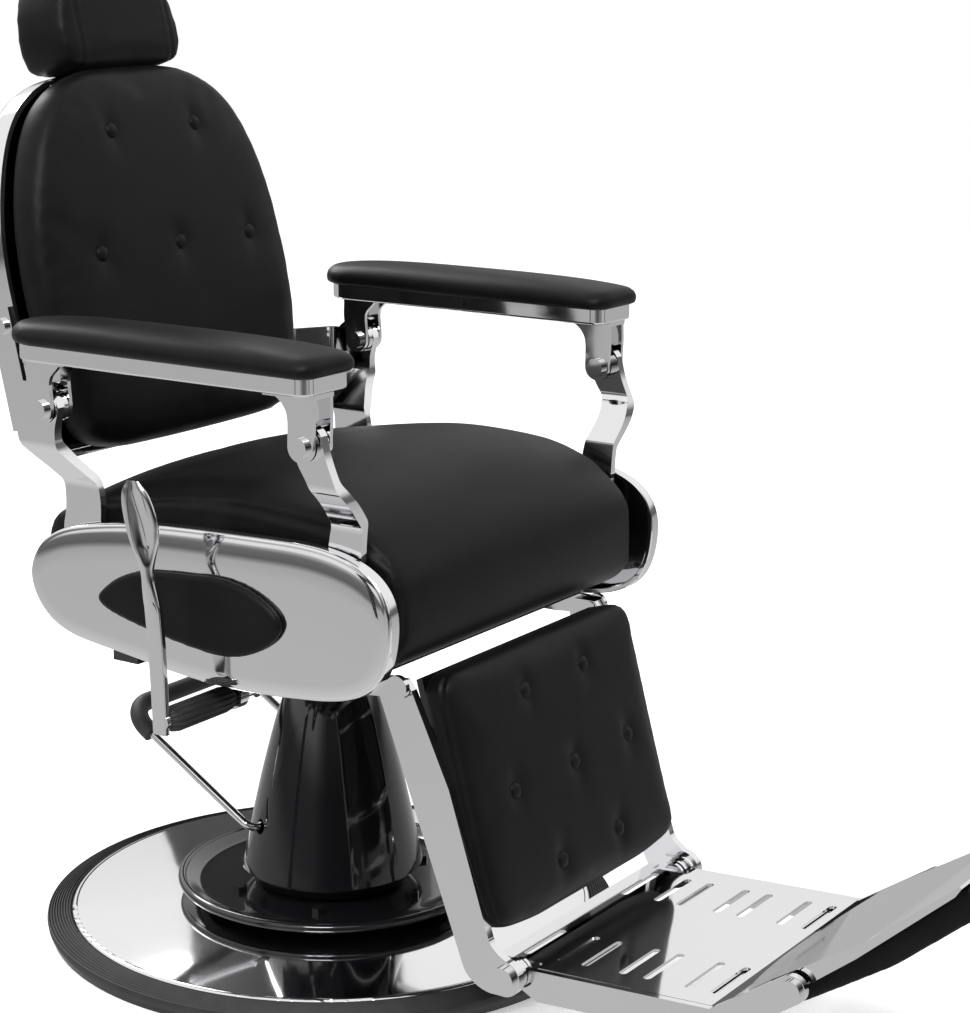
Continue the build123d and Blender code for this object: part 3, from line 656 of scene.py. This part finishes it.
def make_seat_cushion():
    """The seat cushion: its top falls off towards the sides, and its front bulges a little."""
    obj = soft_copy("seat_cushion", 0.0065, 14)
    p = coords(obj)
    _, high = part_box("seat_cushion")
    across = np.clip(np.abs(p[:, 0]) / high.x, 0, 1)
    top = step(p[:, 2], 0.49, 0.545)
    p[:, 2] -= top * (0.018 * across ** 2.6 - 0.006)
    front = step(-p[:, 1], 0.20, 0.27)
    p[:, 1] -= front * 0.008 * ((1 - across ** 2.5) - 0.3) * step(p[:, 2], 0.405, 0.46)
    set_coords(obj, p)
    inflate(obj, p[:, 2] < 0.43, 2.0, 0.004)
    soften(obj, 8)
    subdivide(obj)
    # The side seam runs above the panel, then turns down the front of each side.
    path = np.array([
        (0.180, 0.528), (0.141, 0.536), (0.037, 0.552), (-0.065, 0.556), (-0.142, 0.552), (-0.184, 0.548),
        (-0.233, 0.532), (-0.262, 0.518), (-0.270, 0.499), (-0.274, 0.478), (-0.272, 0.440),
    ])
    p = coords(obj)
    sideways = np.abs(normals(obj)[:, 0]) > 0.45
    seam(obj, np.where(sideways, from_path(p[:, 1:], path), 1.0), 0.0034, 0.0014)
    fit_soft(obj, "seat_cushion", "seat")


def make_headrest():
    """The headrest: a rounded pillow, narrower at the top, with its cover gathered at the end panels."""
    obj = soft_copy("headrest_pad", 0.005, 60)
    inflate(obj, np.zeros(len(obj.data.vertices), bool), 1.5, 0.003)
    soften(obj, 10)
    subdivide(obj)
    local = BACK.local(obj)
    middle = (local[:, 1].max() + local[:, 1].min()) / 2
    local[:, 0] *= 1 - 0.09 * step(local[:, 1], middle, local[:, 1].max())
    local[:, 1] -= 0.004 * step(middle - local[:, 1], 0.0, 0.05)
    BACK.set_local(obj, local)
    half = np.abs(local[:, 0]).max()
    seam(obj, np.abs(local[:, 0]) - (half - 0.026), 0.0026, 0.0009)
    local = BACK.local(obj)
    outward, upward = np.abs(local[:, 0]), local[:, 1] - middle
    gather = np.exp(-(((outward - half + 0.034) / 0.012) ** 2))
    ruck = np.sin(upward * 260 + 9 * outward) * np.sin(upward * 97 + 1.3)
    set_coords(obj, coords(obj) + normals(obj) * (0.0002 * gather * ruck)[:, None])
    fit_soft(obj, "headrest_pad", "headrest")


def make_arm_pad(side):
    """An armrest pad: a long loaf whose ends and sides roll over its band."""
    node = "arm_pad_" + side
    obj = soft_copy(node, 0.004, 16)
    p = coords(obj)
    low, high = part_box(node)
    middle_x, middle_y = (low.x + high.x) / 2, (low.y + high.y) / 2
    across = np.clip(np.abs(p[:, 0] - middle_x) / (high.x - low.x) * 2, 0, 1)
    along = np.clip(np.abs(p[:, 1] - middle_y) / (high.y - low.y) * 2, 0, 1)
    height = (p[:, 2] - low.z) / (high.z - low.z)
    crown = 1 + 0.16 * (1 - across ** 2) - 0.30 * along ** 4 - 0.14 * across ** 4
    waist = 1 - 0.05 * np.clip(1 - height * 2.2, 0, 1) ** 2
    p[:, 2] = low.z + (p[:, 2] - low.z) * crown
    p[:, 0] = middle_x + (p[:, 0] - middle_x) * waist
    set_coords(obj, p)
    soften(obj, 3)
    inflate(obj, p[:, 2] < low.z + 0.004, 2.0, 0.002)
    subdivide(obj)
    fit_soft(obj, node, "armrest_" + side)


def make_side_pad(side):
    node = "side_pad_" + side
    fit_soft(soft_copy(node, 0.003, 6), node, "seat")


def make_kick_pad():
    """The pad under the kick plate, drawn in a little so that it clears the calf pad when folded over."""
    obj = soft_copy("kick_pad", 0.005, 8)
    subdivide(obj)
    set_coords(obj, coords(obj) - normals(obj) * 0.002)
    fit_soft(obj, "kick_pad", "kick")


# ---------------------------------------------------------------- chrome
def hull_loop(node, count):
    """The outline of a CAD node seen from the side: evenly spaced (y, z) points, and outward directions."""
    corners = [(round(v.co.y, 6), round(v.co.z, 6)) for v in frame["nodes"][node].data.vertices]
    flat = [Vector(c) for c in sorted(set(corners))]
    ring = [flat[i] for i in convex_hull_2d(flat)]
    loop = np.array([(p.x, p.y) for p in ring])
    closed = np.vstack([loop, loop[:1]])
    length = np.concatenate([[0], np.cumsum(np.linalg.norm(np.diff(closed, axis=0), axis=1))])
    where = np.linspace(0, length[-1], count, endpoint=False)
    points = np.column_stack([np.interp(where, length, column) for column in closed.T])
    for _ in range(6):
        points = (np.roll(points, 1, 0) + 2 * points + np.roll(points, -1, 0)) / 4
    along = np.roll(points, -1, 0) - np.roll(points, 1, 0)
    out = np.column_stack([along[:, 1], -along[:, 0]])
    out /= np.linalg.norm(out, axis=1, keepdims=True)
    if np.sum(out * (points - points.mean(0))) < 0:
        out = -out
    return points, out


def make_side_panel(side):
    """A pressed side panel: a flat face that rolls away over a wide shoulder to a polished rim."""
    node = "side_panel_" + side
    low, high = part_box(node)
    sign = 1 if side == "left" else -1
    inner, outer = min(abs(low.x), abs(high.x)), max(abs(low.x), abs(high.x))
    points, out = hull_loop(node, 240)
    up = np.clip(out[:, 1], 0, 1)
    shoulder = 0.014 + 0.024 * up ** 1.5
    drop = 0.0022 + 0.0034 * up ** 1.5
    edge = outer - drop
    profile = []
    for share in (1.0, 0.9, 0.78, 0.64, 0.5, 0.36, 0.24, 0.13, 0.05):
        profile.append((0.0045 + shoulder * share, outer - drop * (1 - share) ** 2))
    profile += [
        (0.0045, edge - 0.0003), (0.0030, edge - 0.0004), (0.0015, edge - 0.0012), (0.0004, edge - 0.0027),
        (0.0, edge - 0.0045), (0.0, inner + 0.001), (0.001, inner), (0.005, inner), (0.006, inner + 0.001),
        (0.006, edge - 0.006),
    ]
    verts = []
    for inset, x in profile:
        ring = points - out * np.broadcast_to(inset, len(points))[:, None]
        heights = np.broadcast_to(x, len(points))
        verts += [(sign * h, y, z) for h, (y, z) in zip(heights, ring)]
    obj = skin(node + "_pressed", verts, len(points))
    split_edges(obj, 40)
    fit(obj, node, "seat", "chrome")


def make_lever_bar():
    """The recline lever: a flat bar that narrows, twists a little and opens into a leaf-shaped handle."""
    low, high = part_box("lever_bar")
    middle_x = (low.x + high.x) / 2
    # Height, place along Y, half width, half thickness, twist in degrees and squareness of each section.
    table = np.array([
        (0.321, -0.0240, 0.0088, 0.0040, 0, 8.0), (0.335, -0.0240, 0.0095, 0.0040, 0, 8.0),
        (0.380, -0.0225, 0.0100, 0.0040, 0, 8.0), (0.430, -0.0200, 0.0103, 0.0040, 0, 7.0),
        (0.462, -0.0165, 0.0098, 0.0042, 8, 5.0), (0.482, -0.0120, 0.0078, 0.0050, 26, 3.0),
        (0.497, -0.0095, 0.0066, 0.0058, 40, 2.2), (0.512, -0.0090, 0.0100, 0.0056, 34, 2.2),
        (0.530, -0.0070, 0.0165, 0.0052, 24, 2.2), (0.552, -0.0030, 0.0198, 0.0050, 16, 2.2),
        (0.572, 0.0028, 0.0192, 0.0048, 10, 2.2), (0.585, 0.0058, 0.0158, 0.0042, 6, 2.0),
        (0.592, 0.0074, 0.0105, 0.0032, 4, 2.0), (0.595, 0.0078, 0.0040, 0.0010, 4, 2.0),
    ])
    heights = np.concatenate([np.linspace(0.321, 0.460, 24), np.linspace(0.463, 0.5949, 60)])
    columns = [np.interp(heights, table[:, 0], table[:, k]) for k in range(1, 6)]
    columns = [np.convolve(np.pad(c, 3, mode="edge"), np.ones(7) / 7, mode="valid") for c in columns]
    around, leaf_from = 48, 0.505
    verts = []
    for z, centre, wide, thick, roll, power in zip(heights, *columns):
        turn = math.radians(roll)
        for i in range(around):
            a = 2 * math.pi * i / around
            c, s = math.cos(a), math.sin(a)
            v = wide * math.copysign(abs(c) ** (2 / power), c)
            w = thick * math.copysign(abs(s) ** (2 / power), s)
            if z > leaf_from:
                hollow = math.exp(-((v / (wide * 0.45)) ** 2))
                w *= 1 - 0.55 * hollow * min(1, (z - leaf_from) / 0.02)
            x = middle_x + w * math.cos(turn) - v * math.sin(turn)
            y = centre + v * math.cos(turn) + w * math.sin(turn)
            verts.append((x, y, z))
    obj = skin("lever_leaf", verts, around)
    split_edges(obj, 45)
    fit(obj, "lever_bar", "recline_lever", "chrome")


# ---------------------------------------------------------------- rubber
def make_base_ring():
    """The rubber ring round the base, with its fine concentric grooves."""
    low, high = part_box("base_rubber_ring")
    outer, inner, top_in, ridges = high.x, 0.2985, 0.3135, 9
    profile = [
        (inner, low.z), (outer - 0.004, low.z), (outer - 0.0008, low.z + 0.004), (outer, low.z + 0.009),
    ]
    first_r, first_z, last_z = outer - 0.0012, low.z + 0.0125, high.z - 0.0015
    width = (outer - top_in) / ridges * 0.42
    for i in range(ridges):
        t = i / (ridges - 1)
        r = first_r - (first_r - top_in) * t
        z = first_z + (last_z - first_z) * math.sin(t * math.pi / 2)
        profile += [(r + width * 0.5, z), (r - width * 0.5, z + 0.0006), (r - width * 0.75, z - 0.0018)]
    profile += [(top_in, high.z - 0.0005), (top_in, high.z - 0.006), (inner, high.z - 0.006)]
    obj = lathe("base_ring_ribbed", profile, 192)
    split_edges(obj, 50)
    fit(obj, "base_rubber_ring", "pedestal", "black_rubber")


def make_lever_grip():
    """The lever's foot grip: a rubber sleeve with ribs along it and a rounded end."""
    low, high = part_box("lever_foot_grip")
    length = high.x - low.x
    radius, bore, ribs = 0.0148, 0.0082, 14
    levels = [
        (0.0, 0.70), (0.006, 0.9), (0.014, 1.0), (length - 0.014, 1.0), (length - 0.006, 0.92),
        (length, 0.74),
    ]
    profile = [(radius * share, z) for z, share in levels] + [(bore, length), (bore, 0.0)]

    def ribbed(angle):
        return -0.0013 if math.cos(ribs * angle) < -0.1 else 0.0

    obj = lathe("lever_grip_ribbed", profile, 168, ribbed)
    middle = (low + high) / 2
    turn = Matrix.Rotation(math.radians(90), 4, "Y")
    obj.data.transform(Matrix.Translation((low.x, middle.y, middle.z)) @ turn)
    fit(obj, "lever_foot_grip", "recline_lever", "black_rubber")


# ---------------------------------------------------------------- build
dress_frame()
set_camera()
set_studio()
make_seat_cushion()
make_backrest_pad()
make_calf_pad()
make_headrest()
for side in ("left", "right"):
    make_arm_pad(side)
    make_side_pad(side)
    make_side_panel(side)
make_kick_pad()
make_base_ring()
make_lever_grip()
make_lever_bar()
